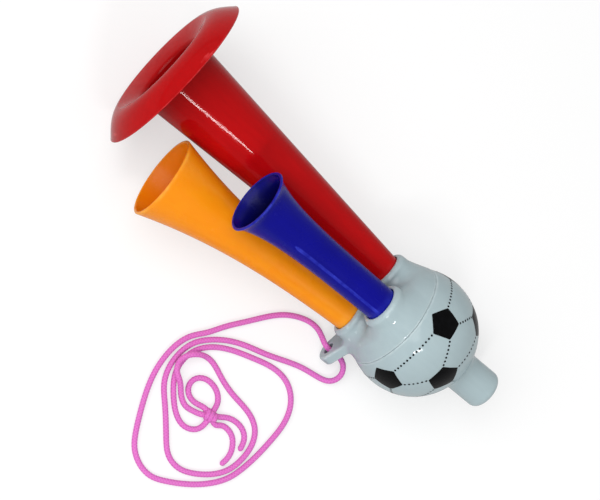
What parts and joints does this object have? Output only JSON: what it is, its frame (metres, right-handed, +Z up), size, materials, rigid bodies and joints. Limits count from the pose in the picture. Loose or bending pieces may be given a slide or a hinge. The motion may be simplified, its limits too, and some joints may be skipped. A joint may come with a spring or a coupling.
{
  "type": "stadium horn",
  "caption": "Mouth-blown stadium horn: a football-shaped blow chamber with mouthpiece and lug, push-in flared trumpets of unequal length, reed units behind them, and a knotted neck cord.",
  "frame": {"origin": "middle of the base of the horn's box, without its cord, as it lies on a table", "axes": "+X from the mouthpiece towards the bells, +Y to the side with the lug and the cord, +Z up from the table"},
  "size_m": [0.2006, 0.1706, 0.0743],
  "materials": {
    "white_rear": "glossy moulded white with a dark printed ball pattern",
    "white_front": "glossy moulded white",
    "red_plastic": "glossy moulded red",
    "orange_plastic": "glossy moulded orange",
    "blue_plastic": "glossy moulded blue",
    "reed_plastic": "natural moulded",
    "reed_brass": "thin rolled strip",
    "reed_clip_plastic": "moulded",
    "pink_cord": "soft round braid"
  },
  "bodies": {
    "horn_body": {"rear_shell": "white_rear", "front_shell": "white_front", "reed_body_blue": "reed_plastic", "reed_body_red": "reed_plastic", "reed_body_orange": "reed_plastic", "reed_clip_blue": "reed_clip_plastic", "reed_clip_red": "reed_clip_plastic", "reed_clip_orange": "reed_clip_plastic", "lanyard_strand_front": "pink_cord", "lanyard_strand_rear": "pink_cord", "lanyard_bight": "pink_cord", "lanyard_tail_long": "pink_cord", "lanyard_tail_short": "pink_cord", "lanyard_knot": "pink_cord"},
    "red_trumpet_body": {"red_trumpet": "red_plastic"},
    "orange_trumpet_body": {"orange_trumpet": "orange_plastic"},
    "blue_trumpet_body": {"blue_trumpet": "blue_plastic"},
    "blue_tongue_body": {"reed_tongue_blue": "reed_brass"},
    "red_tongue_body": {"reed_tongue_red": "reed_brass"},
    "orange_tongue_body": {"reed_tongue_orange": "reed_brass"}
  },
  "joints": [
    {"name": "red_pull", "type": "slide", "parent": "horn_body", "child": "red_trumpet_body", "axis": [0.994, -0.0767, 0.0777], "range_m": [0, 0.012]},
    {"name": "orange_pull", "type": "slide", "parent": "horn_body", "child": "orange_trumpet_body", "axis": [0.9944, 0.0418, 0.0967], "range_m": [0, 0.012]},
    {"name": "blue_pull", "type": "slide", "parent": "horn_body", "child": "blue_trumpet_body", "axis": [0.9799, 0.0176, 0.1986], "range_m": [0, 0.012]},
    {"name": "blue_reed", "type": "hinge", "parent": "horn_body", "child": "blue_tongue_body", "pos_m": [-0.05174, 0.01806, 0.04151], "axis": [0.0406, 0.9577, -0.2849], "range_deg": [-1.8, 2], "stiffness_Nm_per_rad": 0.02},
    {"name": "red_reed", "type": "hinge", "parent": "horn_body", "child": "red_tongue_body", "pos_m": [-0.04949, 0.0005, 0.02578], "axis": [-0.0934, -0.2294, 0.9688], "range_deg": [-1.8, 2], "stiffness_Nm_per_rad": 0.02},
    {"name": "orange_reed", "type": "hinge", "parent": "horn_body", "child": "orange_tongue_body", "pos_m": [-0.04836, 0.02371, 0.01781], "axis": [0.0966, -0.7281, -0.6787], "range_deg": [-1.8, 2], "stiffness_Nm_per_rad": 0.02}
  ]
}
